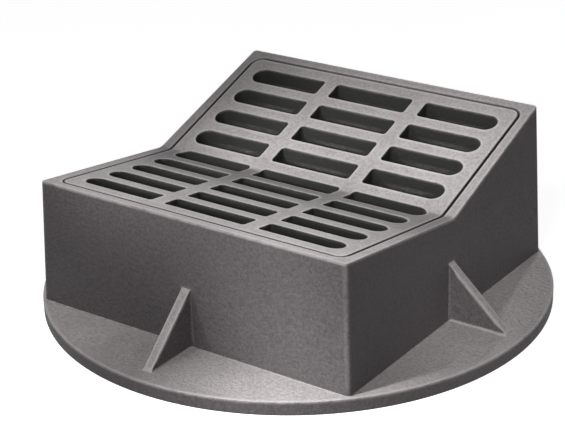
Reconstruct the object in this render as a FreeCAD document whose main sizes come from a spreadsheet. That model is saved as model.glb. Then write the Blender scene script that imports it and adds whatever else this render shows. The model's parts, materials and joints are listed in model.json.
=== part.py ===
import FreeCAD, Part
import math
import os

import Sketcher

# Cast-iron gully top for a road channel. It has two castings: a square frame on a round base flange,
# and a dished grate that lies loose on a ledge inside the frame.
#
# The row stands as it is bedded: +Z up, origin at the centre of the flange's underside, +Y from the
# low front rim towards the high back rim, lengths in millimetres and angles in degrees.

# Driving dimensions.
SIZES = {
    # Round base flange.
    "flange_radius": 398.5,
    "flange_thickness": 22.0,
    "flange_edge_radius": 2.5,
    # Square box of the frame, measured at its foot on the flange.
    "box_width": 560.0,
    "wall_draft": 2.0,
    "wall_thickness": 18.0,
    "box_corner_radius": 4.0,
    # The dish: rim height above the flange at the fold, how far the fold lies behind the centre, and
    # how steeply the rim climbs from it to the front and to the back.
    "valley_rise": 156.0,
    "fold_offset": 10.0,
    "front_slope": 8.2,
    "back_slope": 19.6,
    "rim_fold_radius": 16.0,
    "rim_edge_radius": 2.0,
    # Recess that takes the grate, its ledge and the clear well below.
    "rim_inset": 24.0,
    "ledge_width": 20.0,
    "ledge_thickness": 18.0,
    "well_corner_radius": 18.0,
    # Gusset ribs between the walls and the flange.
    "rib_count": 4,
    "rib_rise": 91.0,
    "rib_reach": 92.0,
    "rib_thickness": 17.0,
    "rib_toe_rise": 3.0,
    "rib_fillet": 8.0,
    # Fit of the grate in its recess.
    "seat_gap": 3.0,
    "grate_set_down": 1.0,
    # Grate plate and its bars.
    "grate_corner_radius": 16.0,
    "border_depth": 28.0,
    "bar_depth": 44.0,
    "bar_clearance": 10.0,
    "grate_fold_radius": 12.0,
    # Slots: rows run across the grate, with three slots in a row.
    "slot_rows": 9,
    "slot_width": 33.0,
    "end_border": 22.5,
    "side_border": 22.0,
    "middle_slot_length": 144.0,
    "divider_width": 24.5,
    "slot_corner_radius": 4.0,
    # How far a cutting outline reaches past the metal that it cuts.
    "cut_margin": 10.0,
}

# Sizes that follow from the driving ones, as formulas in the same sheet.
DERIVED = {
    "valley_height": "flange_thickness + valley_rise",
    "box_half": "box_width / 2",
    "cut_half": "box_half + cut_margin",
    "recess_half": "box_half - rim_inset",
    "well_half": "recess_half - ledge_width",
    "cavity_half": "box_half - wall_thickness",
    "grate_half": "recess_half - seat_gap",
    "bar_half": "well_half - bar_clearance",
    "seat_depth": "grate_set_down + border_depth",
    "recess_corner_radius": "grate_corner_radius + seat_gap",
    "below_flange": "-cut_margin",
    "rib_toe": "box_half + rib_reach",
    "rib_head": "box_half - rib_rise * tan(wall_draft * 1deg)",
    "rib_root": "rib_head - wall_thickness / 4",
    "rib_top": "flange_thickness + rib_rise",
    "rib_toe_top": "flange_thickness + rib_toe_rise",
    "rib_foot": "flange_thickness / 2",
    "outer_row": "grate_half - end_border - slot_width / 2",
    "row_low": "-outer_row - slot_width / 2",
    "row_high": "-outer_row + slot_width / 2",
    "middle_end": "middle_slot_length / 2",
    "outer_start": "middle_end + divider_width",
    "outer_centre": "grate_half - side_border - slot_width / 2",
}

# Lines of the fold in the side view. Each lies parallel to the rim at its own depth below it, and
# spans its own half width to the front and to the back.
FOLD_LINES = {
    "rim": ("cut_half", "0"),
    "seat": ("recess_half", "seat_depth"),
    "ledge_underside": ("cavity_half", "seat_depth + ledge_thickness"),
    "plate_top": ("grate_half", "grate_set_down"),
    "plate_underside": ("grate_half", "seat_depth"),
    "bar_top": ("bar_half", "grate_set_down + border_depth / 2"),
    "bar_underside": ("bar_half", "grate_set_down + bar_depth"),
}

# Two places on an edge or corner count as the same within this distance.
SAME = 0.01

os.makedirs("parts", exist_ok=True)
doc = FreeCAD.newDocument("gully_top")
sheet = doc.addObject("Spreadsheet::Sheet", "Sizes")


def write_sizes():
    """Fills the sheet: the driving numbers first, then the formulas that follow from them."""
    cells = {name: str(number) for name, number in SIZES.items()}
    for name, content in DERIVED.items():
        cells[name] = f"={content}"
    for line, (half, depth) in FOLD_LINES.items():
        fold = f"{line}_fold"
        cells[fold] = f"=valley_height - ({depth})"
        cells[f"{line}_front"] = f"={fold} + ({half} + fold_offset) * tan(front_slope * 1deg)"
        cells[f"{line}_back"] = f"={fold} + ({half} - fold_offset) * tan(back_slope * 1deg)"
    cells["above_rim"] = "=rim_back + cut_margin"
    for row, (name, content) in enumerate(cells.items(), start=1):
        sheet.set(f"A{row}", name)
        sheet.set(f"B{row}", content)
        sheet.setAlias(f"B{row}", name)
    doc.recompute()


def value(size):
    """Number of a named size; a leading minus turns its sign."""
    if size.startswith("-"):
        return -value(size[1:])
    return float(sheet.get(size))


def formula(size):
    """The same named size as an expression that a feature can follow."""
    if size.startswith("-"):
        return f"-Sizes.{size[1:]}"
    return f"Sizes.{size}"


def new_body(label):
    body = doc.addObject("PartDesign::Body", label)
    body.Label = label
    return body


def origin_item(body, role):
    return next(item for item in body.Origin.OriginFeatures if item.Role == role)


def new_sketch(body, name, role, height=None):
    """Sketch on one of the body's own origin planes, or at a named height above it."""
    sketch = body.newObject("Sketcher::SketchObject", name)
    sketch.AttachmentSupport = [(origin_item(body, role), "")]
    sketch.MapMode = "FlatFace"
    if height:
        sketch.setExpression("AttachmentOffset.Base.z", formula(height))
    return sketch


def hold(sketch, kind, *target):
    """Adds a dimension that follows a named size, the last item of the target."""
    *place, size = target
    index = sketch.addConstraint(Sketcher.Constraint(kind, *place, value(size)))
    sketch.setExpression(f"Constraints[{index}]", formula(size))


def draw_outline(sketch, corners):
    """Closed outline of straight lines; each corner is a pair of named sizes."""
    points = [FreeCAD.Vector(value(across), value(up), 0) for across, up in corners]
    count = len(points)
    for index in range(count):
        sketch.addGeometry(Part.LineSegment(points[index], points[(index + 1) % count]), False)
    for index, (across, up) in enumerate(corners):
        previous = (index - 1) % count
        sketch.addConstraint(Sketcher.Constraint("Coincident", previous, 2, index, 1))
        hold(sketch, "DistanceX", index, 1, across)
        hold(sketch, "DistanceY", index, 1, up)


def draw_square(sketch, half):
    draw_outline(sketch, [(f"-{half}", f"-{half}"), (half, f"-{half}"), (half, half), (f"-{half}", half)])


def draw_circle(sketch, radius):
    """Circle about the sketch's origin."""
    normal = FreeCAD.Vector(0, 0, 1)
    sketch.addGeometry(Part.Circle(FreeCAD.Vector(), normal, value(radius)), False)
    sketch.addConstraint(Sketcher.Constraint("Coincident", 0, 3, -1, 1))
    hold(sketch, "Radius", 0, radius)


def fold_corners(half, line):
    """Corners of a fold line, from the front to the back."""
    return [(f"-{half}", f"{line}_front"), ("fold_offset", f"{line}_fold"), (half, f"{line}_back")]


def draw_fold_band(sketch, half, upper, lower):
    """Side view of a folded plate between two fold lines."""
    draw_outline(sketch, fold_corners(half, lower) + fold_corners(half, upper)[::-1])


def draw_fold_space(sketch, half, line, level):
    """Side view of the space between a fold line and a level plane above or below it."""
    draw_outline(sketch, fold_corners(half, line) + [(half, level), (f"-{half}", level)])


def draw_slot(sketch, left, right, left_round=False, right_round=False):
    """One slot of a row. A square end has small corner radii and lies at the named size. A round end
    is a half circle across the slot's width, and the named size is its centre."""
    low, high = value("row_low"), value("row_high")
    corner = value("slot_corner_radius")
    half = (high - low) / 2
    if right_round:
        arcs = [(value(right), low + half, half, -90, 90)]
    else:
        inside = value(right) - corner
        arcs = [(inside, low + corner, corner, -90, 0), (inside, high - corner, corner, 0, 90)]
    if left_round:
        arcs += [(value(left), low + half, half, 90, 270)]
    else:
        inside = value(left) + corner
        arcs += [(inside, high - corner, corner, 90, 180), (inside, low + corner, corner, 180, 270)]
    normal = FreeCAD.Vector(0, 0, 1)
    curves = []
    for across, up, radius, begin, finish in arcs:
        circle = Part.Circle(FreeCAD.Vector(across, up, 0), normal, radius)
        curves.append(Part.ArcOfCircle(circle, math.radians(begin), math.radians(finish)))
    first = sketch.GeometryCount
    count = len(curves)
    for index, curve in enumerate(curves):
        following = curves[(index + 1) % count]
        sketch.addGeometry(curve, False)
        sketch.addGeometry(Part.LineSegment(curve.EndPoint, following.StartPoint), False)
    for index, (_, _, radius, _, finish) in enumerate(arcs):
        arc, line, following = first + 2 * index, first + 2 * index + 1, first + 2 * ((index + 1) % count)
        sketch.addConstraint(Sketcher.Constraint("Tangent", arc, 2, line, 1))
        sketch.addConstraint(Sketcher.Constraint("Tangent", line, 2, following, 1))
        if radius == corner:
            hold(sketch, "Radius", arc, "slot_corner_radius")
        else:
            hold(sketch, "DistanceX", arc, 3, right if finish == 90 else left)
        if finish in (90, 270):
            sketch.addConstraint(Sketcher.Constraint("Horizontal", line))
            hold(sketch, "DistanceY", line, 1, "row_high" if finish == 90 else "row_low")
        else:
            sketch.addConstraint(Sketcher.Constraint("Vertical", line))
            hold(sketch, "DistanceX", line, 1, right if finish == 0 else left)


def pad_up(body, name, sketch, length):
    """Raises an outline from its plane."""
    feature = body.newObject("PartDesign::Pad", name)
    feature.Profile = sketch
    feature.setExpression("Length", length)
    doc.recompute()
    return feature


def across_feature(body, kind, name, sketch, length):
    """Pad or pocket of a side view, the same length to the left and to the right of the middle."""
    feature = body.newObject(kind, name)
    feature.Profile = sketch
    feature.SideType = "Symmetric"
    feature.setExpression("Length", length)
    doc.recompute()
    return feature


def cut_up(body, name, sketch):
    """Cuts an outline from its plane upwards through all of the metal."""
    feature = body.newObject("PartDesign::Pocket", name)
    feature.Profile = sketch
    feature.Type = "ThroughAll"
    feature.Reversed = True
    doc.recompute()
    return feature


def lean_in(body, name, base, angle, neutral, is_wanted):
    """Moulding draft on the faces that pass the test, about the plane of a neutral face."""
    feature = body.newObject("PartDesign::Draft", name)
    faces = base.Shape.Faces
    feature.Base = (base, [f"Face{index}" for index, face in enumerate(faces, start=1) if is_wanted(face)])
    still = next(index for index, face in enumerate(faces, start=1) if neutral(face))
    feature.NeutralPlane = (base, [f"Face{still}"])
    feature.setExpression("Angle", formula(angle))
    doc.recompute()
    return feature


def round_edges(body, name, base, radius, is_wanted):
    """Fillet on the edges that pass the test."""
    feature = body.newObject("PartDesign::Fillet", name)
    edges = base.Shape.Edges
    feature.Base = (base, [f"Edge{index}" for index, edge in enumerate(edges, start=1) if is_wanted(edge)])
    feature.setExpression("Radius", formula(radius))
    doc.recompute()
    return feature


def is_near(number, target):
    return abs(number - target) < SAME


def is_upright(edge):
    low, high = edge.Vertexes[0].Point, edge.Vertexes[-1].Point
    return abs(high.z - low.z) > abs(high.x - low.x) + abs(high.y - low.y)


def at_corner(half):
    """Test for the upright edges of a square well or plate."""

    def is_corner(point):
        return is_near(abs(point.x), value(half)) and is_near(abs(point.y), value(half))

    return lambda edge: is_upright(edge) and all(is_corner(vertex.Point) for vertex in edge.Vertexes)


def on_fold(line):
    """Test for the edges along a fold line's lowest place."""

    def is_low(point):
        return is_near(point.y, value("fold_offset")) and is_near(point.z, value(f"{line}_fold"))

    return lambda edge: all(is_low(vertex.Point) for vertex in edge.Vertexes)


def build_frame():
    """Frame casting: flange, hollow box with a dished rim, inner ledge, and a rib on each side."""
    body = new_body("frame")

    outline = new_sketch(body, "flange_outline", "XY_Plane")
    draw_circle(outline, "flange_radius")
    flange = pad_up(body, "flange", outline, "Sizes.flange_thickness")
    flange_top = value("flange_thickness")

    def is_top_edge(edge):
        return is_near(edge.BoundBox.ZMin, flange_top)

    round_edges(body, "flange_edge", flange, "flange_edge_radius", is_top_edge)

    outline = new_sketch(body, "box_outline", "XY_Plane", "flange_thickness")
    draw_square(outline, "box_half")
    block = pad_up(body, "block", outline, "Sizes.above_rim - Sizes.flange_thickness")

    def is_wall(face):
        return face.CenterOfMass.z > flange_top and abs(face.normalAt(0, 0).z) < SAME

    def is_flange_top(face):
        return is_near(face.BoundBox.ZMin, flange_top) and is_near(face.BoundBox.ZMax, flange_top)

    box = lean_in(body, "box", block, "wall_draft", is_flange_top, is_wall)

    def is_box_corner(edge):
        return is_upright(edge) and edge.CenterOfMass.z > flange_top

    round_edges(body, "box_corners", box, "box_corner_radius", is_box_corner)

    side = new_sketch(body, "dish_side", "YZ_Plane")
    draw_fold_space(side, "cut_half", "rim", "above_rim")
    dish = across_feature(body, "PartDesign::Pocket", "dish", side, "2 * Sizes.cut_half")
    rim_fold = round_edges(body, "rim_fold", dish, "rim_fold_radius", on_fold("rim"))

    def is_rim_edge(edge):
        return not is_upright(edge) and edge.CenterOfMass.z > value("rim_fold") - SAME

    round_edges(body, "rim_edges", rim_fold, "rim_edge_radius", is_rim_edge)

    side = new_sketch(body, "recess_side", "YZ_Plane")
    draw_fold_space(side, "recess_half", "seat", "above_rim")
    recess = across_feature(body, "PartDesign::Pocket", "recess", side, "2 * Sizes.recess_half")
    round_edges(body, "recess_corners", recess, "recess_corner_radius", at_corner("recess_half"))

    outline = new_sketch(body, "well_outline", "XY_Plane")
    draw_square(outline, "well_half")
    well = cut_up(body, "well", outline)
    round_edges(body, "well_corners", well, "well_corner_radius", at_corner("well_half"))

    side = new_sketch(body, "cavity_side", "YZ_Plane")
    draw_fold_space(side, "cavity_half", "ledge_underside", "below_flange")
    cavity = across_feature(body, "PartDesign::Pocket", "cavity", side, "2 * Sizes.cavity_half")
    round_edges(body, "cavity_corners", cavity, "well_corner_radius", at_corner("cavity_half"))

    side = new_sketch(body, "rib_side", "YZ_Plane")
    rib_corners = [
        ("-rib_toe", "rib_foot"),
        ("-rib_root", "rib_foot"),
        ("-rib_root", "rib_top"),
        ("-rib_head", "rib_top"),
        ("-rib_toe", "rib_toe_top"),
    ]
    draw_outline(side, rib_corners)
    rib = across_feature(body, "PartDesign::Pad", "front_rib", side, "Sizes.rib_thickness")
    ribs = body.newObject("PartDesign::PolarPattern", "ribs")
    ribs.Originals = [rib]
    ribs.Axis = (origin_item(body, "Z_Axis"), [""])
    ribs.Angle = 360
    ribs.setExpression("Occurrences", "Sizes.rib_count")
    body.Tip = ribs
    doc.recompute()

    def is_rib_root(edge):
        middle = edge.CenterOfMass
        across, out = sorted((abs(middle.x), abs(middle.y)))
        on_rib = is_near(across, value("rib_thickness") / 2) and out > value("rib_head")
        return on_rib and is_upright(edge) and middle.z > flange_top and out < value("box_half")

    round_edges(body, "rib_roots", ribs, "rib_fillet", is_rib_root)
    return body


def build_grate():
    """Grate casting: folded plate with a shallow border, deeper bars inside it, and slots."""
    body = new_body("grate")

    side = new_sketch(body, "plate_side", "YZ_Plane")
    draw_fold_band(side, "grate_half", "plate_top", "plate_underside")
    plate = across_feature(body, "PartDesign::Pad", "plate", side, "2 * Sizes.grate_half")
    round_edges(body, "plate_corners", plate, "grate_corner_radius", at_corner("grate_half"))

    side = new_sketch(body, "bars_side", "YZ_Plane")
    draw_fold_band(side, "bar_half", "bar_top", "bar_underside")
    across_feature(body, "PartDesign::Pad", "bars", side, "2 * Sizes.bar_half")

    row = new_sketch(body, "slot_row", "XY_Plane")
    draw_slot(row, "-outer_centre", "-outer_start", left_round=True)
    draw_slot(row, "-middle_end", "middle_end")
    draw_slot(row, "outer_start", "outer_centre", right_round=True)
    first_row = cut_up(body, "first_row", row)
    rows = body.newObject("PartDesign::LinearPattern", "rows")
    rows.Originals = [first_row]
    rows.Direction = (row, ["V_Axis"])
    rows.setExpression("Length", "2 * Sizes.outer_row")
    rows.setExpression("Occurrences", "Sizes.slot_rows")
    body.Tip = rows
    doc.recompute()
    round_edges(body, "plate_fold", rows, "grate_fold_radius", on_fold("plate_top"))
    return body


def export(body):
    """Checks one casting and writes it as a STEP file under its own name."""
    shape = body.Shape
    if shape.isNull() or not shape.isValid() or len(shape.Solids) != 1:
        raise RuntimeError(f"{body.Label} isn't one valid solid")
    shape.exportStep(f"parts/{body.Label}.step")
    print(body.Label, "volume", round(shape.Volume), "mm3, box", shape.BoundBox)


write_sizes()
castings = [build_frame(), build_grate()]
doc.recompute()
for item in doc.Objects:
    if "Invalid" in item.State or "Error" in item.State:
        raise RuntimeError(f"{item.Label} failed: {item.State}")
for casting in castings:
    export(casting)
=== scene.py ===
import json
import math

import bmesh
import bpy
from mathutils import Matrix, Vector

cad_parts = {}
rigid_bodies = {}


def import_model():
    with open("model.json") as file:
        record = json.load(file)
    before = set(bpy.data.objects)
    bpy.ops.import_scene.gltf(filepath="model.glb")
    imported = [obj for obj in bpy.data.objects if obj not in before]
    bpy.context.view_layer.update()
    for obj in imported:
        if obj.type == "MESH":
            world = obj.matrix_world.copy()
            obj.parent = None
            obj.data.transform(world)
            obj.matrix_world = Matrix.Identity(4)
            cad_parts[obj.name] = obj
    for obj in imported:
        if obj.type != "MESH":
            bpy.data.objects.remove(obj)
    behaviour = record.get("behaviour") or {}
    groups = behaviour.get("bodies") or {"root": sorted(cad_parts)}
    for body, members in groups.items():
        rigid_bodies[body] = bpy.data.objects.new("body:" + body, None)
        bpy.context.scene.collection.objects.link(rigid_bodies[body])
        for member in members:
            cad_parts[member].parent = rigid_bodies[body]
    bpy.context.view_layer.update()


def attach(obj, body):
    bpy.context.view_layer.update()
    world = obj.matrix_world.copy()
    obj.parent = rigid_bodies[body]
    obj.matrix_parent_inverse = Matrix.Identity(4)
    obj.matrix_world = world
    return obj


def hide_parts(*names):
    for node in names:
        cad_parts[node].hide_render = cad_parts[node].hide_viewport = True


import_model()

bpy.ops.object.select_all(action="DESELECT")


# Frame casting: one piece of grey iron, poured in a sand mould. A square box with a slight moulding
# draft stands on a round bedding flange. Its rim dips to a valley just behind the middle, and inside
# the rim runs the ledge for the grate. It is modelled flat first, and then its top takes the dish.
FLANGE_RADIUS = 0.3985
FLANGE_THICKNESS = 0.022
FLANGE_EDGE = 0.0025
FLANGE_FOOT_EDGE = 0.0015
FLANGE_SIDES = 256
BOX_HALF = 0.280
BOX_CORNER = 0.0055
WALL_DRAFT = math.tan(math.radians(2.0))
FOOT_FILLET = 0.0015
VALLEY_Z = 0.178
RIM_EDGE = 0.002
RECESS_HALF = 0.2564
RECESS_EDGE = 0.0026
RECESS_CORNER = 0.0205
SEAT_DEPTH = 0.029
SEAT_Z = VALLEY_Z - SEAT_DEPTH
WELL_HALF = 0.236
LEDGE_THICKNESS = 0.018
LEDGE_EDGE = 0.002
LEDGE_UNDERSIDE_Z = SEAT_Z - LEDGE_THICKNESS
CAVITY_HALF = 0.262
CAVITY_TOP_EDGE = 0.006
CAVITY_FOOT_EDGE = 0.002
FOLD_Y = 0.010
FRONT_CLIMB = math.tan(math.radians(8.2))
BACK_CLIMB = math.tan(math.radians(19.6))
RIM_FOLD_HALF = 0.0075
DISHED_FROM_Z = 0.100
OUTER_WALL_FROM = 0.268
SETTLING_ROUNDS = 4

# Limits for picking out parts of a mesh: the same place, nearly the same place, and close by.
# Corners nearer to each other than a seam are merged, and turns under the angle are shaded smooth.
HAIR = 0.0001
NEARLY = 0.0002
CLOSE_BY = 0.001
SEAM = 0.00002
SMOOTH_ANGLE = math.radians(35)


def choose(kind, test):
    """Selects just the corners, edges or faces of the casting in hand that pass a test."""
    bpy.ops.mesh.select_mode(type=kind)
    bpy.ops.mesh.select_all(action="DESELECT")
    mesh = bmesh.from_edit_mesh(bpy.context.edit_object.data)
    for item in {"VERT": mesh.verts, "EDGE": mesh.edges, "FACE": mesh.faces}[kind]:
        if test(item):
            item.select_set(True)
    mesh.select_flush_mode()
    bmesh.update_edit_mesh(bpy.context.edit_object.data)


def open_edge(edge, z):
    """True for an edge that lies flat at one height and has a face on one side at most."""
    return len(edge.link_faces) < 2 and all(abs(corner.co.z - z) < HAIR for corner in edge.verts)


def square_ring(half, z, corner, steps):
    """Adds a square ring of edges with rounded corners."""
    bpy.ops.mesh.primitive_plane_add(size=2 * half, location=(0, 0, z))
    bpy.ops.mesh.bevel(affect="VERTICES", offset=corner, segments=steps, clamp_overlap=False)
    bpy.ops.mesh.delete(type="ONLY_FACE")


def quarter(start, end, level_first, steps=3):
    """Points of a quarter round in a section, which sets off level or upright."""
    points = []
    for step in range(1, steps + 1):
        turn = math.radians(90 * step / steps)
        early, late = math.sin(turn), 1 - math.cos(turn)
        width, rise = (early, late) if level_first else (late, early)
        points.append((start[0] + (end[0] - start[0]) * width, start[1] + (end[1] - start[1]) * rise))
    return points


def walk(half_x, half_y, z, section, centre=(0, 0, 0)):
    """Draws the chosen ring on along a section of half widths and heights, leaving wall behind it."""
    for next_half, next_z in section:
        step_out = next_half - half_x
        bpy.ops.mesh.extrude_edges_move(TRANSFORM_OT_translate={"value": (0, 0, next_z - z)})
        grow = (next_half / half_x, (half_y + step_out) / half_y, 1)
        bpy.ops.transform.resize(value=grow, center_override=centre)
        half_x, half_y, z = next_half, half_y + step_out, next_z


# The outer wall, from the foot on the flange up to the rim.
foot_half = BOX_HALF + FOOT_FILLET
foot_z = FLANGE_THICKNESS + FOOT_FILLET
wall_top_z = VALLEY_Z - RIM_EDGE
wall_top_half = BOX_HALF - (wall_top_z - FLANGE_THICKNESS) * WALL_DRAFT
bpy.ops.mesh.primitive_plane_add(size=2 * foot_half, location=(0, 0, FLANGE_THICKNESS))
frame_casting = bpy.context.object
frame_casting.name = "frame_casting"
bpy.ops.object.transform_apply(location=True, rotation=False, scale=False)
bpy.ops.object.mode_set(mode="EDIT")
bpy.ops.mesh.select_all(action="SELECT")
bpy.ops.mesh.bevel(affect="VERTICES", offset=BOX_CORNER, segments=6, clamp_overlap=False)
bpy.ops.mesh.delete(type="ONLY_FACE")
wall_section = quarter((foot_half, FLANGE_THICKNESS), (BOX_HALF, foot_z), level_first=True)
wall_section += [(wall_top_half, wall_top_z)]
wall_section += quarter(
    (wall_top_half, wall_top_z), (wall_top_half - RIM_EDGE, VALLEY_Z), level_first=False
)
choose("EDGE", lambda edge: open_edge(edge, FLANGE_THICKNESS))
walk(foot_half, foot_half, FLANGE_THICKNESS, wall_section)

# The recess, the ledge in it and the shaft below, down to the underside.
recess_top_half = RECESS_HALF + RECESS_EDGE
inner_section = quarter(
    (recess_top_half, VALLEY_Z), (RECESS_HALF, VALLEY_Z - RECESS_EDGE), level_first=True
)
inner_section += [(RECESS_HALF, SEAT_Z + LEDGE_EDGE)]
inner_section += quarter(
    (RECESS_HALF, SEAT_Z + LEDGE_EDGE), (RECESS_HALF - LEDGE_EDGE, SEAT_Z), level_first=False
)
inner_section += [(WELL_HALF + LEDGE_EDGE, SEAT_Z)]
inner_section += quarter(
    (WELL_HALF + LEDGE_EDGE, SEAT_Z), (WELL_HALF, SEAT_Z - LEDGE_EDGE), level_first=True
)
inner_section += [(WELL_HALF, LEDGE_UNDERSIDE_Z + LEDGE_EDGE)]
inner_section += quarter(
    (WELL_HALF, LEDGE_UNDERSIDE_Z + LEDGE_EDGE),
    (WELL_HALF + LEDGE_EDGE, LEDGE_UNDERSIDE_Z),
    level_first=False,
)
inner_section += [(CAVITY_HALF - CAVITY_TOP_EDGE, LEDGE_UNDERSIDE_Z)]
inner_section += quarter(
    (CAVITY_HALF - CAVITY_TOP_EDGE, LEDGE_UNDERSIDE_Z),
    (CAVITY_HALF, LEDGE_UNDERSIDE_Z - CAVITY_TOP_EDGE),
    level_first=True,
)
inner_section += [(CAVITY_HALF, CAVITY_FOOT_EDGE)]
inner_section += quarter(
    (CAVITY_HALF, CAVITY_FOOT_EDGE), (CAVITY_HALF + CAVITY_FOOT_EDGE, 0.0), level_first=False
)
bpy.ops.mesh.select_all(action="DESELECT")
square_ring(recess_top_half, VALLEY_Z, corner=RECESS_CORNER, steps=6)
choose("EDGE", lambda edge: not edge.link_faces)
walk(recess_top_half, recess_top_half, VALLEY_Z, inner_section)
choose("EDGE", lambda edge: open_edge(edge, VALLEY_Z))
bpy.ops.mesh.bridge_edge_loops()

# The round flange.
bpy.ops.mesh.select_all(action="DESELECT")
flat_radius = FLANGE_RADIUS - FLANGE_EDGE
bpy.ops.mesh.primitive_circle_add(
    vertices=FLANGE_SIDES, radius=flat_radius, location=(0, 0, FLANGE_THICKNESS)
)
flange_section = quarter(
    (flat_radius, FLANGE_THICKNESS),
    (FLANGE_RADIUS, FLANGE_THICKNESS - FLANGE_EDGE),
    level_first=True,
    steps=4,
)
flange_section += [(FLANGE_RADIUS, FLANGE_FOOT_EDGE)]
flange_section += quarter(
    (FLANGE_RADIUS, FLANGE_FOOT_EDGE), (FLANGE_RADIUS - FLANGE_FOOT_EDGE, 0.0), level_first=False
)
choose("EDGE", lambda edge: not edge.link_faces)
walk(flat_radius, flat_radius, FLANGE_THICKNESS, flange_section)
for height in (FLANGE_THICKNESS, 0.0):
    choose("EDGE", lambda edge: open_edge(edge, height))
    bpy.ops.mesh.fill(use_beauty=True)


def dish_rise(y, half):
    """Height of the dished top above its lowest line, eased over a short curve at the fold."""
    along = y - FOLD_Y
    if along <= -half:
        return -along * FRONT_CLIMB
    if along >= half:
        return along * BACK_CLIMB
    bend = (FRONT_CLIMB + BACK_CLIMB) / (4 * half)
    return FRONT_CLIMB * half - FRONT_CLIMB * (along + half) + bend * (along + half) ** 2


def cut_at_fold(half, lowest_z):
    """Cuts the casting across, at each station of the curve at the fold."""
    for station in (-1, -0.5, 0, 0.5, 1):
        choose("FACE", lambda face: face.calc_center_median().z > lowest_z)
        bpy.ops.mesh.bisect(plane_co=(0, FOLD_Y + station * half, 0), plane_no=(0, 1, 0))


def lean_in(place, rise):
    """Draws a point of the outer wall in on the draft, as far as it rises. Points inside it stay."""
    reach = max(abs(place.x), abs(place.y))
    if reach < OUTER_WALL_FROM:
        return place.x, place.y
    share = 1 - rise * WALL_DRAFT / reach
    return place.x * share, place.y * share


# The dish: the top and the ledge rise from the fold to the front and to the back, and the outer wall
# leans in on its draft as far up as it goes. Leaning in shifts a point along the slope and so changes
# its rise, so the two are settled in a few rounds.
cut_at_fold(RIM_FOLD_HALF, lowest_z=foot_z)
bpy.ops.object.mode_set(mode="OBJECT")
for corner in frame_casting.data.vertices:
    if corner.co.z > DISHED_FROM_Z:
        rise = dish_rise(corner.co.y, RIM_FOLD_HALF)
        for settling in range(SETTLING_ROUNDS):
            rise = dish_rise(lean_in(corner.co, rise)[1], RIM_FOLD_HALF)
        corner.co = (*lean_in(corner.co, rise), corner.co.z + rise)

# The four gusset ribs, cast with the frame. Each is a wedge from the flange's edge up the wall, with
# fillets where it grows out of the wall and the flange, and rounded slanting edges.
RIB_THICKNESS = 0.0157
RIB_TOE_Y = -0.3745
RIB_TOE_Z = 0.0224
RIB_HEAD_Y = -0.2768
RIB_HEAD_Z = 0.113
RIB_SUNK_Y = -0.2756
RIB_SUNK_Z = 0.0206
RIB_FILLET_STEPS = ((0.0, 0.0048), (0.0011, 0.0024), (0.0026, 0.0009), (0.0056, 0.0))
RIB_FOOT_STEPS = ((0.0, 0.0036), (0.0010, 0.0015), (0.0024, 0.0005), (0.0045, 0.0))
SLANT_REACH = 0.0003
SLANT_EDGE = 0.0030
SLANT_EDGE_RUN = 0.0005
SLANT_FLARE_SHARE = 0.15
TOE_EDGE = 0.0012


def wall_gap(corner):
    """How far a corner of the rib stands in front of the leaning wall."""
    return -BOX_HALF + (corner.co.z - FLANGE_THICKNESS) * WALL_DRAFT - corner.co.y


def slant_z(y):
    """Height of the rib's slanting edge."""
    return RIB_TOE_Z + (y - RIB_TOE_Y) * (RIB_HEAD_Z - RIB_TOE_Z) / (RIB_HEAD_Y - RIB_TOE_Y)


def on_slant(corner):
    """True for a corner of the rib on its slanting edge."""
    return corner.co.z > slant_z(corner.co.y) - SLANT_REACH


rib_top_z = slant_z(RIB_SUNK_Y)
bpy.ops.object.select_all(action="DESELECT")
rib_middle = (0, (RIB_TOE_Y + RIB_SUNK_Y) / 2, (RIB_SUNK_Z + rib_top_z) / 2)
bpy.ops.mesh.primitive_cube_add(size=1, location=rib_middle)
ribs = bpy.context.object
bpy.ops.object.transform_apply(location=True, rotation=False, scale=False)
bpy.ops.object.mode_set(mode="EDIT")
bpy.ops.mesh.select_all(action="SELECT")
bpy.ops.transform.resize(
    value=(RIB_THICKNESS, RIB_SUNK_Y - RIB_TOE_Y, rib_top_z - RIB_SUNK_Z), center_override=rib_middle
)
choose(
    "VERT",
    lambda corner: corner.co.z > rib_top_z - CLOSE_BY and corner.co.y < RIB_TOE_Y + CLOSE_BY,
)
bpy.ops.transform.translate(value=(0, 0, RIB_TOE_Z - rib_top_z))
for gap, flare in RIB_FILLET_STEPS:
    bpy.ops.mesh.select_all(action="SELECT")
    bpy.ops.mesh.bisect(
        plane_co=(0, -BOX_HALF - gap, FLANGE_THICKNESS), plane_no=(0, 1, -WALL_DRAFT)
    )
for lift, flare in RIB_FOOT_STEPS:
    bpy.ops.mesh.select_all(action="SELECT")
    bpy.ops.mesh.bisect(plane_co=(0, 0, FLANGE_THICKNESS + lift), plane_no=(0, 0, 1))
for side in (-1, 1):
    for gap, flare in RIB_FILLET_STEPS:
        for slanting in (True, False):
            choose(
                "VERT",
                lambda corner: corner.co.x * side > 0
                and (abs(wall_gap(corner) - gap) < NEARLY or gap == 0 and wall_gap(corner) < 0)
                and on_slant(corner) == slanting,
            )
            share = SLANT_FLARE_SHARE if slanting else 1
            bpy.ops.transform.translate(value=(side * flare * share, 0, 0))
    for lift, flare in RIB_FOOT_STEPS:
        choose(
            "VERT",
            lambda corner: corner.co.x * side > 0
            and (
                abs(corner.co.z - FLANGE_THICKNESS - lift) < HAIR
                or lift == 0 and corner.co.z < FLANGE_THICKNESS
            ),
        )
        bpy.ops.transform.translate(value=(side * flare, 0, 0))
choose(
    "EDGE",
    lambda edge: len(edge.link_faces) == 2
    and all(on_slant(corner) for corner in edge.verts)
    and abs(edge.verts[0].co.y - edge.verts[1].co.y) > SLANT_EDGE_RUN,
)
bpy.ops.mesh.bevel(offset=SLANT_EDGE, segments=4, clamp_overlap=True)
choose("EDGE", lambda edge: all(corner.co.y < RIB_TOE_Y + NEARLY for corner in edge.verts))
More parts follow.
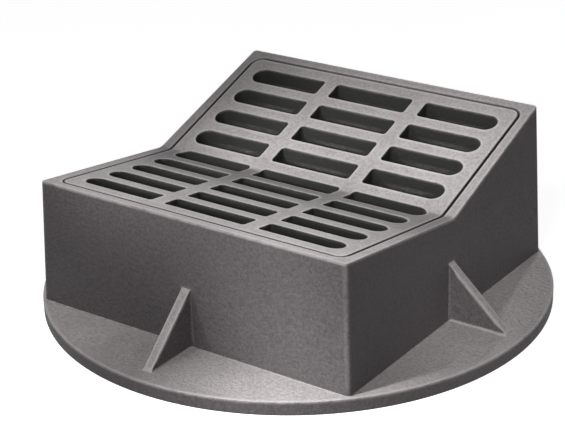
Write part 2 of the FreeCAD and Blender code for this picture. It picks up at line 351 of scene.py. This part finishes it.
bpy.ops.mesh.bevel(offset=TOE_EDGE, segments=2, clamp_overlap=True)
bpy.ops.mesh.select_all(action="SELECT")
for turn in range(3):
    bpy.ops.mesh.duplicate()
    bpy.ops.transform.rotate(value=math.radians(90), orient_axis="Z", center_override=(0, 0, 0))
bpy.ops.object.mode_set(mode="OBJECT")
ribs.select_set(True)
frame_casting.select_set(True)
bpy.context.view_layer.objects.active = frame_casting
bpy.ops.object.join()


def finish_casting(casting):
    """Closes the seams of a casting, turns its faces outwards and shades its rounded edges smooth."""
    bpy.ops.object.select_all(action="DESELECT")
    casting.select_set(True)
    bpy.context.view_layer.objects.active = casting
    bpy.ops.object.mode_set(mode="EDIT")
    bpy.ops.mesh.select_all(action="SELECT")
    bpy.ops.mesh.remove_doubles(threshold=SEAM)
    bpy.ops.mesh.normals_make_consistent(inside=False)
    bpy.ops.object.mode_set(mode="OBJECT")
    bpy.ops.object.shade_smooth_by_angle(angle=SMOOTH_ANGLE)
    bpy.ops.object.modifier_add(type="WEIGHTED_NORMAL")
    casting.modifiers[-1].keep_sharp = True
    bpy.ops.object.modifier_apply(modifier=casting.modifiers[-1].name)


finish_casting(frame_casting)

# The skin that the sand mould leaves on iron: fine grains, shallow pits and broad cloudy patches.
# The pits set the measure for its height, and the grains and the patches add their shares.
GRAIN_HEIGHT = 0.6
CLOUD_HEIGHT = 1.5


def new_group(name, inputs, outputs):
    """Starts a node group with named sockets, and gives it back with its two ends."""
    group = bpy.data.node_groups.new(name, "ShaderNodeTree")
    for label, kind, value in inputs:
        socket = group.interface.new_socket(label, in_out="INPUT", socket_type=kind)
        if value is not None:
            socket.default_value = value
    for label in outputs:
        group.interface.new_socket(label, in_out="OUTPUT", socket_type="NodeSocketFloat")
    return group, group.nodes.new("NodeGroupInput"), group.nodes.new("NodeGroupOutput")


def feed(tree, socket, value):
    """Gives a socket its value: a number, or a link from another socket."""
    if isinstance(value, (int, float)):
        socket.default_value = value
    else:
        tree.links.new(value, socket)


def noise(tree, place, scale, detail, roughness=0.55):
    """Adds a noise texture that reads a place, at a scale given as a number or a socket."""
    texture = tree.nodes.new("ShaderNodeTexNoise")
    texture.inputs["Detail"].default_value = detail
    texture.inputs["Roughness"].default_value = roughness
    tree.links.new(place, texture.inputs["Vector"])
    feed(tree, texture.inputs["Scale"], scale)
    return texture.outputs["Fac"]


def spread(tree, value, low, high):
    """Stretches the part of a value between two limits, numbers or sockets, over 0 to 1."""
    stretch = tree.nodes.new("ShaderNodeMapRange")
    feed(tree, stretch.inputs["From Min"], low)
    feed(tree, stretch.inputs["From Max"], high)
    tree.links.new(value, stretch.inputs["Value"])
    return stretch.outputs["Result"]


def reckon(tree, sort, first, second):
    """Adds a sum, a product, a difference or the larger of two values, numbers or sockets."""
    sum_node = tree.nodes.new("ShaderNodeMath")
    sum_node.operation = sort
    feed(tree, sum_node.inputs[0], first)
    feed(tree, sum_node.inputs[1], second)
    return sum_node.outputs["Value"]


sand_skin, skin_in, skin_out = new_group(
    "sand_cast_skin",
    (
        ("Place", "NodeSocketVector", None),
        ("Grain scale", "NodeSocketFloat", 420.0),
        ("Pit scale", "NodeSocketFloat", 150.0),
        ("Cloud scale", "NodeSocketFloat", 9.0),
    ),
    ("Grain", "Pits", "Clouds", "Height"),
)
skin_place = skin_in.outputs["Place"]
grain_noise = noise(sand_skin, skin_place, skin_in.outputs["Grain scale"], detail=3)
pit_noise = noise(sand_skin, skin_place, skin_in.outputs["Pit scale"], detail=4)
cloud_noise = noise(
    sand_skin, skin_place, skin_in.outputs["Cloud scale"], detail=4, roughness=0.6
)
grain = spread(sand_skin, grain_noise, low=0.36, high=0.64)
pits = spread(sand_skin, pit_noise, low=0.36, high=0.64)
clouds = spread(sand_skin, cloud_noise, low=0.3, high=0.7)
height = reckon(sand_skin, "ADD", reckon(sand_skin, "MULTIPLY", grain, GRAIN_HEIGHT), pits)
height = reckon(sand_skin, "ADD", height, reckon(sand_skin, "MULTIPLY", clouds, CLOUD_HEIGHT))
for label, value in (("Grain", grain), ("Pits", pits), ("Clouds", clouds), ("Height", height)):
    sand_skin.links.new(value, skin_out.inputs[label])

# Edges that stand out are rubbed paler and smoother, in patches, and the paler colour also paints a
# highlight on them. An edge counts as standing out where the iron behind it is thin and the air in
# front of it is clear over a longer reach.
CLEAR_REACH_SHARE = 2.5
RUB_PATCH_SCALE = 75.0
LOOKS_PER_PLACE = 8


def shut_in(tree, reach, inside):
    """Adds a measure of how open a place is, looking outwards, or inwards through the iron."""
    look = tree.nodes.new("ShaderNodeAmbientOcclusion")
    look.samples = LOOKS_PER_PLACE
    look.inside = inside
    look.only_local = inside
    tree.links.new(reach, look.inputs["Distance"])
    return look.outputs["AO"]


edge_rub_and_highlight, rub_highlight_in, rub_highlight_out = new_group(
    "rubbed_and_highlit_edges",
    (("Place", "NodeSocketVector", None), ("Reach", "NodeSocketFloat", 0.006)),
    ("Rub and highlight",),
)
behind = shut_in(edge_rub_and_highlight, rub_highlight_in.outputs["Reach"], inside=True)
thin = spread(edge_rub_and_highlight, behind, low=0.97, high=0.66)
clear_reach = reckon(edge_rub_and_highlight, "MULTIPLY", rub_highlight_in.outputs["Reach"], CLEAR_REACH_SHARE)
in_front = shut_in(edge_rub_and_highlight, clear_reach, inside=False)
standing_out = spread(edge_rub_and_highlight, in_front, low=0.90, high=1.0)
patch_noise = noise(edge_rub_and_highlight, rub_highlight_in.outputs["Place"], RUB_PATCH_SCALE, detail=3)
patchy = spread(edge_rub_and_highlight, patch_noise, low=0.12, high=0.50)
rubbed_and_highlit = reckon(edge_rub_and_highlight, "MULTIPLY", reckon(edge_rub_and_highlight, "MULTIPLY", thin, standing_out), patchy)
edge_rub_and_highlight.links.new(rubbed_and_highlit, rub_highlight_out.inputs["Rub and highlight"])

# Corners, slots and the joint round the grate are darkened as painted shade, more where less open air
# is within reach of them.
corner_shade, shade_in, shade_out = new_group(
    "painted_hollow_shade",
    (
        ("Reach", "NodeSocketFloat", 0.02),
        ("Open", "NodeSocketFloat", 0.85),
        ("Shut", "NodeSocketFloat", 0.35),
    ),
    ("Painted shade",),
)
round_about = shut_in(corner_shade, shade_in.outputs["Reach"], inside=False)
hollow_shade = spread(
    corner_shade, round_about, low=shade_in.outputs["Open"], high=shade_in.outputs["Shut"]
)
corner_shade.links.new(hollow_shade, shade_out.inputs["Painted shade"])

# Faces that look up are scoured smoother by tyres, feet and rain. Their colour is painted light: paler
# than the sides, a little less so in some patches, while the sides carry painted shade.
SCOUR_PATCH_SHARE = 0.16
scoured_lit_tops, lit_tops_in, lit_tops_out = new_group(
    "scoured_and_lit_tops",
    (("Place", "NodeSocketVector", None), ("Patch scale", "NodeSocketFloat", 24.0)),
    ("Top",),
)
surface = scoured_lit_tops.nodes.new("ShaderNodeNewGeometry")
upright = scoured_lit_tops.nodes.new("ShaderNodeSeparateXYZ")
scoured_lit_tops.links.new(surface.outputs["Normal"], upright.inputs["Vector"])
facing_up = spread(scoured_lit_tops, upright.outputs["Z"], low=0.30, high=0.72)
wear_noise = noise(scoured_lit_tops, lit_tops_in.outputs["Place"], lit_tops_in.outputs["Patch scale"], detail=5)
wear_patches = spread(scoured_lit_tops, wear_noise, low=0.25, high=0.7)
wear_patches = reckon(scoured_lit_tops, "MULTIPLY", wear_patches, SCOUR_PATCH_SHARE)
worn_and_lit = reckon(scoured_lit_tops, "ADD", 1 - SCOUR_PATCH_SHARE, wear_patches)
scoured_lit_tops.links.new(reckon(scoured_lit_tops, "MULTIPLY", facing_up, worn_and_lit), lit_tops_out.inputs["Top"])

# In front of the fold, on the lowest part of the dish, the tops are darkened as a painted shadow.
fold_shadow_band, fold_shadow_in, fold_shadow_out = new_group(
    "painted_shadow_in_the_fold", (("Place", "NodeSocketVector", None),), ("Fold shadow",)
)
across = fold_shadow_band.nodes.new("ShaderNodeSeparateXYZ")
fold_shadow_band.links.new(fold_shadow_in.outputs["Place"], across.inputs["Vector"])
behind_front_end = spread(fold_shadow_band, across.outputs["Y"], low=-0.115, high=-0.035)
before_back_end = spread(fold_shadow_band, across.outputs["Y"], low=0.014, high=0.006)
near_the_top = spread(fold_shadow_band, across.outputs["Z"], low=0.140, high=0.160)
shadow_band = reckon(fold_shadow_band, "MULTIPLY", behind_front_end, before_back_end)
shadow_band = reckon(fold_shadow_band, "MULTIPLY", shadow_band, near_the_top)
fold_shadow_band.links.new(shadow_band, fold_shadow_out.inputs["Fold shadow"])

# What each effect adds to the iron: shares of the tone, cover over the colour, and roughness.
CLOUD_TONE = 0.2
FINE_TONE = 0.4
FOLD_SHADOW_COVER = 0.55
RUB_AND_HIGHLIGHT_COVER = 0.85
SHADE_COVER = 0.98
SHEEN = 0.22
BASE_ROUGHNESS = 0.58
PIT_ROUGHNESS = 0.14
RUB_SMOOTHING = 0.10
SCOUR_SMOOTHING = 0.14
SKIN_DEPTH = 0.0008


def use_group(tree, group, **values):
    """Places a node group in a material, with its own values."""
    placed = tree.nodes.new("ShaderNodeGroup")
    placed.node_tree = group
    for label, value in values.items():
        feed(tree, placed.inputs[label.replace("_", " ")], value)
    return placed


def blend_colours(tree, share, first, second):
    """Mixes two colours, each given as numbers or taken from a socket."""
    mix = tree.nodes.new("ShaderNodeMix")
    mix.data_type = "RGBA"
    tree.links.new(share, mix.inputs["Factor"])
    for socket, colour in ((mix.inputs[6], first), (mix.inputs[7], second)):
        if isinstance(colour, tuple):
            socket.default_value = (*colour, 1)
        else:
            tree.links.new(colour, socket)
    return mix.outputs[2]


def cast_iron(name, tones, bump, rub_highlight_reach, skin_values, shade_values):
    """A matt grey casting in its own tones, with its skin, scoured tops and rubbed edges; its colour
    paints light on tops and edges, and shade on sides, hollows and the fold.
    """
    material = bpy.data.materials.new(name)
    material.use_nodes = True
    tree = material.node_tree
    shader = tree.nodes["Principled BSDF"]
    shader.inputs["Specular IOR Level"].default_value = SHEEN
    place = tree.nodes.new("ShaderNodeTexCoord").outputs["Object"]
    skin = use_group(tree, sand_skin, Place=place, **skin_values)
    painted_shade = use_group(tree, corner_shade, **shade_values).outputs["Painted shade"]
    rub_and_highlight = use_group(tree, edge_rub_and_highlight, Place=place, Reach=rub_highlight_reach).outputs["Rub and highlight"]
    top = use_group(tree, scoured_lit_tops, Place=place).outputs["Top"]
    fold_shadow = use_group(tree, fold_shadow_band, Place=place).outputs["Fold shadow"]

    fine = reckon(tree, "ADD", skin.outputs["Grain"], skin.outputs["Pits"])
    fine = reckon(tree, "MULTIPLY", fine, FINE_TONE)
    broad = reckon(tree, "MULTIPLY", skin.outputs["Clouds"], CLOUD_TONE)
    tone = reckon(tree, "ADD", broad, fine)
    # Side faces take the dark tones and top faces the pale ones: painted shade and painted light.
    wall_colour = blend_colours(tree, tone, tones["wall_dark"], tones["wall_pale"])
    top_colour = blend_colours(tree, tone, tones["top_dark"], tones["top_pale"])
    # The band in front of the fold is darkened as a painted shadow.
    fold_shadow_share = reckon(tree, "MULTIPLY", fold_shadow, FOLD_SHADOW_COVER)
    top_colour = blend_colours(tree, fold_shadow_share, top_colour, tones["fold_shadow"])
    colour = blend_colours(tree, top, wall_colour, top_colour)
    # Standing-out edges are paled by wear and as a painted highlight.
    rub_highlight_share = reckon(tree, "MULTIPLY", rub_and_highlight, RUB_AND_HIGHLIGHT_COVER)
    colour = blend_colours(tree, rub_highlight_share, colour, tones["rubbed_and_highlit"])
    # Hollows, slots and joints are darkened as painted shade.
    shade_share = reckon(tree, "MULTIPLY", painted_shade, SHADE_COVER)
    colour = blend_colours(tree, shade_share, colour, tones["shade_tone"])
    tree.links.new(colour, shader.inputs["Base Color"])

    pitted = reckon(tree, "MULTIPLY", skin.outputs["Pits"], PIT_ROUGHNESS)
    rougher = reckon(tree, "ADD", BASE_ROUGHNESS, pitted)
    rub_smooth = reckon(tree, "MULTIPLY", rub_and_highlight, RUB_SMOOTHING)
    scour_smooth = reckon(tree, "MULTIPLY", top, SCOUR_SMOOTHING)
    smoother = reckon(tree, "ADD", rub_smooth, scour_smooth)
    tree.links.new(reckon(tree, "SUBTRACT", rougher, smoother), shader.inputs["Roughness"])

    relief = tree.nodes.new("ShaderNodeBump")
    relief.inputs["Strength"].default_value = bump
    relief.inputs["Distance"].default_value = SKIN_DEPTH
    tree.links.new(skin.outputs["Height"], relief.inputs["Height"])
    tree.links.new(relief.outputs["Normal"], shader.inputs["Normal"])
    return material


# The side tones sit far below the top tones as painted shade; the hollow and fold tones are painted
# shade too.
frame_casting.data.materials.clear()
frame_casting.data.materials.append(
    cast_iron(
        "frame_grey_iron",
        tones={
            "wall_dark": (0.068, 0.064, 0.065),
            "wall_pale": (0.150, 0.134, 0.138),
            "top_dark": (0.255, 0.237, 0.239),
            "top_pale": (0.480, 0.446, 0.449),
            "rubbed_and_highlit": (0.510, 0.480, 0.482),
            "shade_tone": (0.070, 0.067, 0.066),
            "fold_shadow": (0.105, 0.098, 0.100),
        },
        bump=0.55,
        rub_highlight_reach=0.0055,
        skin_values={"Grain_scale": 330.0, "Pit_scale": 175.0, "Cloud_scale": 8.0},
        shade_values={"Reach": 0.012, "Open": 0.60, "Shut": 0.22},
    )
)
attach(frame_casting, "root")
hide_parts("frame")


# Grate: one iron casting, a square plate folded along the frame's valley. Nine rows of three slots run
# through it, and between them it is deepened into bars. It lies on the ledge by its own weight.
GRATE_HALF = 0.2528
GRATE_SET_DOWN = 0.0004
GRATE_TOP_Z = VALLEY_Z - GRATE_SET_DOWN
GRATE_EDGE = 0.0018
GRATE_CORNER = 0.0144
GRATE_TAPER = 0.0005
GRATE_FOOT_EDGE = 0.002
GRATE_FOLD_HALF = 0.0060
BORDER_DEPTH = 0.028
ROWS = 9
FIRST_ROW_Y = -0.214
ROW_PITCH = 0.0535
SLOT_HALF_WIDTH = 0.0165
MIDDLE_SLOT_HALF = 0.072
OUTER_SLOT_FROM = 0.0965
OUTER_SLOT_TO = 0.231
SLOT_FIELD_HALF = 0.240
SLOT_CORNER = 0.004
SLOT_EDGE = 0.0014
SLOT_TAPER = 0.0003
SLOT_FOOT_EDGE = 0.001
SLOT_REACH_Y = 0.020
FIELD_REACH_Y = 0.234
LIP_REACH = 0.003
MOST_FILL_SIDES = 8
plate_bottom_z = GRATE_TOP_Z - BORDER_DEPTH
divider_x = (OUTER_SLOT_FROM + MIDDLE_SLOT_HALF) / 2

# The plate's outline.
plate_top_half = GRATE_HALF - GRATE_EDGE
bpy.ops.object.select_all(action="DESELECT")
bpy.ops.mesh.primitive_plane_add(size=2 * plate_top_half, location=(0, 0, GRATE_TOP_Z))
grate_casting = bpy.context.object
grate_casting.name = "grate_casting"
bpy.ops.object.transform_apply(location=True, rotation=False, scale=False)
bpy.ops.object.mode_set(mode="EDIT")
bpy.ops.mesh.select_all(action="SELECT")
bpy.ops.mesh.bevel(affect="VERTICES", offset=GRATE_CORNER, segments=8, clamp_overlap=False)
bpy.ops.mesh.delete(type="ONLY_FACE")
outline_foot_half = GRATE_HALF - GRATE_TAPER
outline_foot_z = plate_bottom_z + GRATE_FOOT_EDGE
outline_section = quarter(
    (plate_top_half, GRATE_TOP_Z), (GRATE_HALF, GRATE_TOP_Z - GRATE_EDGE), level_first=True
)
outline_section += [(outline_foot_half, outline_foot_z)]
outline_section += quarter(
    (outline_foot_half, outline_foot_z),
    (outline_foot_half - GRATE_FOOT_EDGE, plate_bottom_z),
    level_first=False,
    steps=2,
)
choose("EDGE", lambda edge: not edge.link_faces)
walk(plate_top_half, plate_top_half, GRATE_TOP_Z, outline_section)


def cut_slots(from_x, to_x, cell_from, cell_to, round_left):
    """Makes a slot in the first row with its lip and its cell of plate, and copies it to each row."""
    centre_x = (from_x + to_x) / 2
    half_length = (to_x - from_x) / 2
    top_half_length, top_half_width = half_length + SLOT_EDGE, SLOT_HALF_WIDTH + SLOT_EDGE
    slot_middle = (centre_x, FIRST_ROW_Y, GRATE_TOP_Z)
    bpy.ops.mesh.select_all(action="DESELECT")
    bpy.ops.mesh.primitive_plane_add(size=1, location=slot_middle)
    bpy.ops.transform.resize(
        value=(2 * top_half_length, 2 * top_half_width, 1), center_override=slot_middle
    )
    if round_left:
        tip_x = from_x - SLOT_EDGE
        choose("VERT", lambda corner: abs(corner.co.x - tip_x) < HAIR)
        bpy.ops.mesh.bevel(
            affect="VERTICES", offset=top_half_width - HAIR, segments=9, clamp_overlap=False
        )
        choose(
            "VERT",
            lambda corner: abs(corner.co.x - tip_x) < HAIR
            and abs(corner.co.y - FIRST_ROW_Y) < NEARLY,
        )
        bpy.ops.mesh.merge(type="CENTER")
    choose(
        "VERT",
        lambda corner: len(corner.link_faces) == 1
        and abs(abs(corner.co.x - centre_x) - top_half_length) < HAIR
        and (corner.co.x > centre_x or not round_left),
    )
    bpy.ops.mesh.bevel(
        affect="VERTICES", offset=SLOT_CORNER + SLOT_EDGE, segments=4, clamp_overlap=False
    )
    choose(
        "FACE",
        lambda face: len(face.edges) > MOST_FILL_SIDES
        and abs(face.calc_center_median().z - GRATE_TOP_Z) < HAIR,
    )
    bpy.ops.mesh.delete(type="ONLY_FACE")
    choose("EDGE", lambda edge: not edge.link_faces)
    slot_section = quarter(
        (top_half_length, GRATE_TOP_Z), (half_length, GRATE_TOP_Z - SLOT_EDGE), level_first=True
    )
    slot_section += [(half_length + SLOT_TAPER, plate_bottom_z + SLOT_FOOT_EDGE)]
    slot_section += [(half_length + SLOT_FOOT_EDGE, plate_bottom_z)]
    walk(top_half_length, top_half_width, GRATE_TOP_Z, slot_section, (centre_x, FIRST_ROW_Y, 0))

    def in_cell(corner):
        """True for a corner of the slot that lies in this cell of the plate."""
        return (
            cell_from + CLOSE_BY < corner.co.x < cell_to - CLOSE_BY
            and abs(corner.co.y - FIRST_ROW_Y) < SLOT_REACH_Y
        )

    for height in (GRATE_TOP_Z, plate_bottom_z):
        cell_middle = ((cell_from + cell_to) / 2, FIRST_ROW_Y, height)
        bpy.ops.mesh.select_all(action="DESELECT")
        bpy.ops.mesh.primitive_plane_add(size=1, location=cell_middle)
        bpy.ops.transform.resize(
            value=(cell_to - cell_from, ROW_PITCH, 1), center_override=cell_middle
        )
        bpy.ops.mesh.delete(type="ONLY_FACE")
        choose(
            "EDGE",
            lambda edge: open_edge(edge, height)
            and (not edge.link_faces or all(in_cell(corner) for corner in edge.verts)),
        )
        bpy.ops.mesh.fill(use_beauty=True)
    choose("VERT", in_cell)
    bpy.ops.mesh.select_linked()
    for row in range(1, ROWS):
        bpy.ops.mesh.duplicate_move(TRANSFORM_OT_translate={"value": (0, ROW_PITCH, 0)})


# The middle slots and the left ones are made, and the left ones are mirrored to the right. Then the
# border is filled in between the slots' cells and the outline.
cut_slots(-MIDDLE_SLOT_HALF, MIDDLE_SLOT_HALF, -divider_x, divider_x, round_left=False)
cut_slots(-OUTER_SLOT_TO, -OUTER_SLOT_FROM, -SLOT_FIELD_HALF, -divider_x, round_left=True)
choose(
    "VERT",
    lambda corner: -OUTER_SLOT_TO - LIP_REACH < corner.co.x < -OUTER_SLOT_FROM + LIP_REACH
    and abs(corner.co.y) < FIELD_REACH_Y,
)
bpy.ops.mesh.select_linked()
bpy.ops.mesh.duplicate()
bpy.ops.transform.resize(value=(-1, 1, 1), center_override=(0, 0, 0))
bpy.ops.mesh.select_all(action="SELECT")
bpy.ops.mesh.remove_doubles(threshold=SEAM)
for height in (GRATE_TOP_Z, plate_bottom_z):
    choose("EDGE", lambda edge: open_edge(edge, height))
    bpy.ops.mesh.fill(use_beauty=True)

# The bars: eight across, between the rows of slots, and two dividers along. They reach up into the
# plate, and each tapers a little downwards so that the pattern leaves the sand.
BAR_DEPTH = 0.044
BAR_HALF = 0.226
BAR_INSET = 0.0012
BAR_SUNK = 0.004
BAR_TAPER = 0.0016
BAR_EDGE = 0.0016
cross_bar_width = ROW_PITCH - 2 * SLOT_HALF_WIDTH - BAR_INSET
divider_width = OUTER_SLOT_FROM - MIDDLE_SLOT_HALF - BAR_INSET
bar_top_z = plate_bottom_z + BAR_SUNK
bar_bottom_z = GRATE_TOP_Z - BAR_DEPTH


def add_bar(x, y, width, length):
    """Adds one bar, tapered and rounded below."""
    bpy.ops.mesh.select_all(action="DESELECT")
    middle = (x, y, (bar_top_z + bar_bottom_z) / 2)
    bpy.ops.mesh.primitive_cube_add(size=1, location=middle)
    bpy.ops.transform.resize(
        value=(width, length, bar_top_z - bar_bottom_z), center_override=middle
    )
    choose(
        "VERT",
        lambda corner: abs(corner.co.z - bar_bottom_z) < HAIR
        and abs(abs(corner.co.x - x) - width / 2) < HAIR
        and abs(abs(corner.co.y - y) - length / 2) < HAIR,
    )
    narrow = (1 - BAR_TAPER / width, 1 - BAR_TAPER / length, 1)
    bpy.ops.transform.resize(value=narrow, center_override=(x, y, bar_bottom_z))
    bpy.ops.mesh.select_mode(type="EDGE")
    bpy.ops.mesh.bevel(offset=BAR_EDGE, segments=2, clamp_overlap=True)


add_bar(0, FIRST_ROW_Y + ROW_PITCH / 2, 2 * BAR_HALF, cross_bar_width)
choose("VERT", lambda corner: corner.co.z < plate_bottom_z - CLOSE_BY)
bpy.ops.mesh.select_linked()
for row in range(1, ROWS - 1):
    bpy.ops.mesh.duplicate_move(TRANSFORM_OT_translate={"value": (0, ROW_PITCH, 0)})
for side in (-1, 1):
    add_bar(side * divider_x, 0, divider_width, 2 * BAR_HALF)

cut_at_fold(GRATE_FOLD_HALF, lowest_z=0)
bpy.ops.object.mode_set(mode="OBJECT")
for corner in grate_casting.data.vertices:
    corner.co.z += dish_rise(corner.co.y, GRATE_FOLD_HALF)
finish_casting(grate_casting)

# The grate's iron: pale tops as painted light, and near-black slot walls as painted shade. Its outer
# side, in the joint round it, takes a lighter copy with less painted shade.
slot_shaded_tones = {
    "wall_dark": (0.018, 0.017, 0.017),
    "wall_pale": (0.038, 0.036, 0.036),
    "top_dark": (0.285, 0.268, 0.270),
    "top_pale": (0.520, 0.490, 0.492),
    "rubbed_and_highlit": (0.530, 0.503, 0.505),
    "shade_tone": (0.022, 0.022, 0.021),
    "fold_shadow": (0.105, 0.098, 0.100),
}
side_less_shaded_tones = slot_shaded_tones | {
    "wall_dark": (0.105, 0.099, 0.100),
    "wall_pale": (0.200, 0.186, 0.189),
    "shade_tone": (0.085, 0.081, 0.081),
}
grate_casting.data.materials.clear()
for name, tones in (("grate_iron_painted_dark_slots", slot_shaded_tones), ("grate_iron_side_less_shaded", side_less_shaded_tones)):
    grate_casting.data.materials.append(
        cast_iron(
            name,
            tones,
            bump=0.50,
            rub_highlight_reach=0.006,
            skin_values={"Grain_scale": 330.0, "Pit_scale": 180.0, "Cloud_scale": 10.0},
            shade_values={"Reach": 0.070, "Open": 0.88, "Shut": 0.66},
        )
    )
# The outer faces take the copy with less painted shade than the slot walls.
for face in grate_casting.data.polygons:
    if max(abs(face.center.x), abs(face.center.y)) > GRATE_HALF - GRATE_EDGE:
        face.material_index = 1
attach(grate_casting, "root")
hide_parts("grate")


# Floor: a plain white sheet under the flange. The camera sees it white with the part's soft shadow,
# and it throws little light back up on the walls. It glows only outside the flange.
FLOOR_SIZE = 30
FLOOR_PAPER = (0.60, 0.60, 0.60, 1)
FLOOR_DIM = (0.20, 0.20, 0.20, 1)
FLOOR_GLOW = 0.90
WHITE = (1, 1, 1, 1)


def seen_by_eye(tree):
    """Adds a measure that is 1 where the camera looks, straight on or by a reflection, and else 0."""
    rays = tree.nodes.new("ShaderNodeLightPath")
    indirect = reckon(
        tree, "MAXIMUM", rays.outputs["Is Glossy Ray"], rays.outputs["Is Transmission Ray"]
    )
    return reckon(tree, "MAXIMUM", rays.outputs["Is Camera Ray"], indirect)


bpy.ops.object.select_all(action="DESELECT")
bpy.ops.mesh.primitive_plane_add(size=FLOOR_SIZE, location=(0, 0, 0))
floor = bpy.context.object
floor.name = "floor"
floor_white = bpy.data.materials.new("floor_white")
floor_white.use_nodes = True
floor_tree = floor_white.node_tree
floor_tree.nodes.remove(floor_tree.nodes["Principled BSDF"])
floor_paper = floor_tree.nodes.new("ShaderNodeBsdfDiffuse")
floor_paper.inputs["Color"].default_value = FLOOR_PAPER
floor_glow = floor_tree.nodes.new("ShaderNodeEmission")
floor_glow.inputs["Color"].default_value = WHITE
floor_sum = floor_tree.nodes.new("ShaderNodeAddShader")
floor_reach = floor_tree.nodes.new("ShaderNodeVectorMath")
floor_reach.operation = "LENGTH"
floor_place = floor_tree.nodes.new("ShaderNodeTexCoord")
floor_tree.links.new(floor_place.outputs["Object"], floor_reach.inputs[0])
outside = spread(floor_tree, floor_reach.outputs["Value"], low=0.385, high=0.395)
glow = reckon(floor_tree, "MULTIPLY", outside, FLOOR_GLOW)
floor_tree.links.new(glow, floor_glow.inputs["Strength"])
floor_tree.links.new(floor_paper.outputs[0], floor_sum.inputs[0])
floor_tree.links.new(floor_glow.outputs[0], floor_sum.inputs[1])
floor_dim = floor_tree.nodes.new("ShaderNodeBsdfDiffuse")
floor_dim.inputs["Color"].default_value = FLOOR_DIM
floor_mix = floor_tree.nodes.new("ShaderNodeMixShader")
floor_tree.links.new(seen_by_eye(floor_tree), floor_mix.inputs[0])
floor_tree.links.new(floor_dim.outputs[0], floor_mix.inputs[1])
floor_tree.links.new(floor_sum.outputs[0], floor_mix.inputs[2])
floor_tree.links.new(floor_mix.outputs[0], floor_tree.nodes["Material Output"].inputs["Surface"])
floor.data.materials.append(floor_white)

# Studio: white all round to the eye, as in a plain catalogue picture. The part itself gets only a dim
# even fill from it, and the lamps do the rest.
FILL_STRENGTH = 0.065
world = bpy.data.worlds.new("studio")
bpy.context.scene.world = world
world.use_nodes = True
world_tree = world.node_tree
fill = world_tree.nodes["Background"]
fill.inputs["Color"].default_value = WHITE
fill.inputs["Strength"].default_value = FILL_STRENGTH
white = world_tree.nodes.new("ShaderNodeBackground")
white.inputs["Color"].default_value = WHITE
white.inputs["Strength"].default_value = 1.0
world_mix = world_tree.nodes.new("ShaderNodeMixShader")
world_tree.links.new(seen_by_eye(world_tree), world_mix.inputs[0])
world_tree.links.new(fill.outputs[0], world_mix.inputs[1])
world_tree.links.new(white.outputs[0], world_mix.inputs[2])
world_tree.links.new(world_mix.outputs[0], world_tree.nodes["World Output"].inputs["Surface"])

# Lamps: one soft box in front, and narrow ones for the near corner, the two slopes, the fold, the rims
# and the flange. The one behind comes low over the back rim, so that the fold lies in the shade.
LAMP_DISTANCE = 3.0
PART_MIDDLE = (0, 0, 0.15)
SOFT_BOX_SIZE = 0.8


def add_lamp(name, sort, turn, height, target, power):
    """Adds a lamp at a compass turn and a height angle from a point, and aims it there."""
    turn, height = math.radians(turn), math.radians(height)
    level = math.cos(height)
    towards_lamp = Vector((level * math.cos(turn), level * math.sin(turn), math.sin(height)))
    bpy.ops.object.light_add(type=sort, location=Vector(target) + LAMP_DISTANCE * towards_lamp)
    lamp = bpy.context.object
    lamp.name = name
    lamp.rotation_euler = (-towards_lamp).to_track_quat("-Z", "Y").to_euler()
    lamp.data.energy = power
    return lamp.data


add_lamp("front_soft_box", "AREA", -70, 40, PART_MIDDLE, 33).size = SOFT_BOX_SIZE
for name, turn, height, target, power, cone, width in (
    ("lamp_over_back_rim", 100, 9, (0.03, -0.21, 0.20), 620, 15, 0.25),
    ("near_corner_lamp", -120, 55, (0.22, -0.34, 0.02), 570, 7, 0.10),
    ("front_wall_lamp", -120, 15, (0.16, -0.30, 0.10), 150, 8, 0.10),
    ("back_slope_lamp", -80, 22, (0.08, 0.13, 0.215), 160, 12, 0.10),
    ("fold_lamp", -100, 20, (-0.06, 0.04, 0.19), 280, 6, 0.10),
    ("far_fold_lamp", -100, 25, (-0.16, 0.05, 0.19), 180, 5, 0.05),
    ("right_rim_lamp", -150, 35, (0.24, 0.12, 0.22), 360, 8, 0.10),
    ("right_front_lamp", 150, 30, (0.25, -0.15, 0.20), 90, 6, 0.10),
    ("right_flange_lamp", -60, 30, (0.34, -0.06, 0.05), 190, 6, 0.10),
    ("left_flange_lamp", -100, 80, (-0.22, -0.33, 0.022), 115, 9, 0.10),
):
    spot = add_lamp(name, "SPOT", turn, height, target, power)
    spot.spot_size = math.radians(cone)
    spot.spot_blend = 1.0
    spot.shadow_soft_size = width

# Camera: at the photo's angle, a little above the rim and to the right of the front. It is slightly
# tilted, and its long lens keeps the sides of the box nearly parallel.
CAMERA_TARGET = Vector((-0.02615, 0.0, 0.11938))
CAMERA_BACK = Vector((0.53645, -0.74194, 0.40218))
CAMERA_DISTANCE = 2.606
CAMERA_ROLL = -0.0282
LENS_LENGTH = 106.38
SENSOR_WIDTH = 36
level_right = Vector((0, 0, 1)).cross(CAMERA_BACK).normalized()
level_up = CAMERA_BACK.cross(level_right).normalized()
camera_right = math.cos(CAMERA_ROLL) * level_right + math.sin(CAMERA_ROLL) * level_up
camera_up = math.cos(CAMERA_ROLL) * level_up - math.sin(CAMERA_ROLL) * level_right
bpy.ops.object.camera_add()
camera = bpy.context.object
camera.name = "camera"
camera.matrix_world = Matrix.Translation(CAMERA_TARGET + CAMERA_DISTANCE * CAMERA_BACK) @ Matrix(
    (camera_right, camera_up, CAMERA_BACK.normalized())
).transposed().to_4x4()
camera.data.lens = LENS_LENGTH
camera.data.sensor_width = SENSOR_WIDTH
camera.data.dof.use_dof = False
bpy.context.scene.camera = camera
bpy.context.scene.view_settings.view_transform = "Standard"
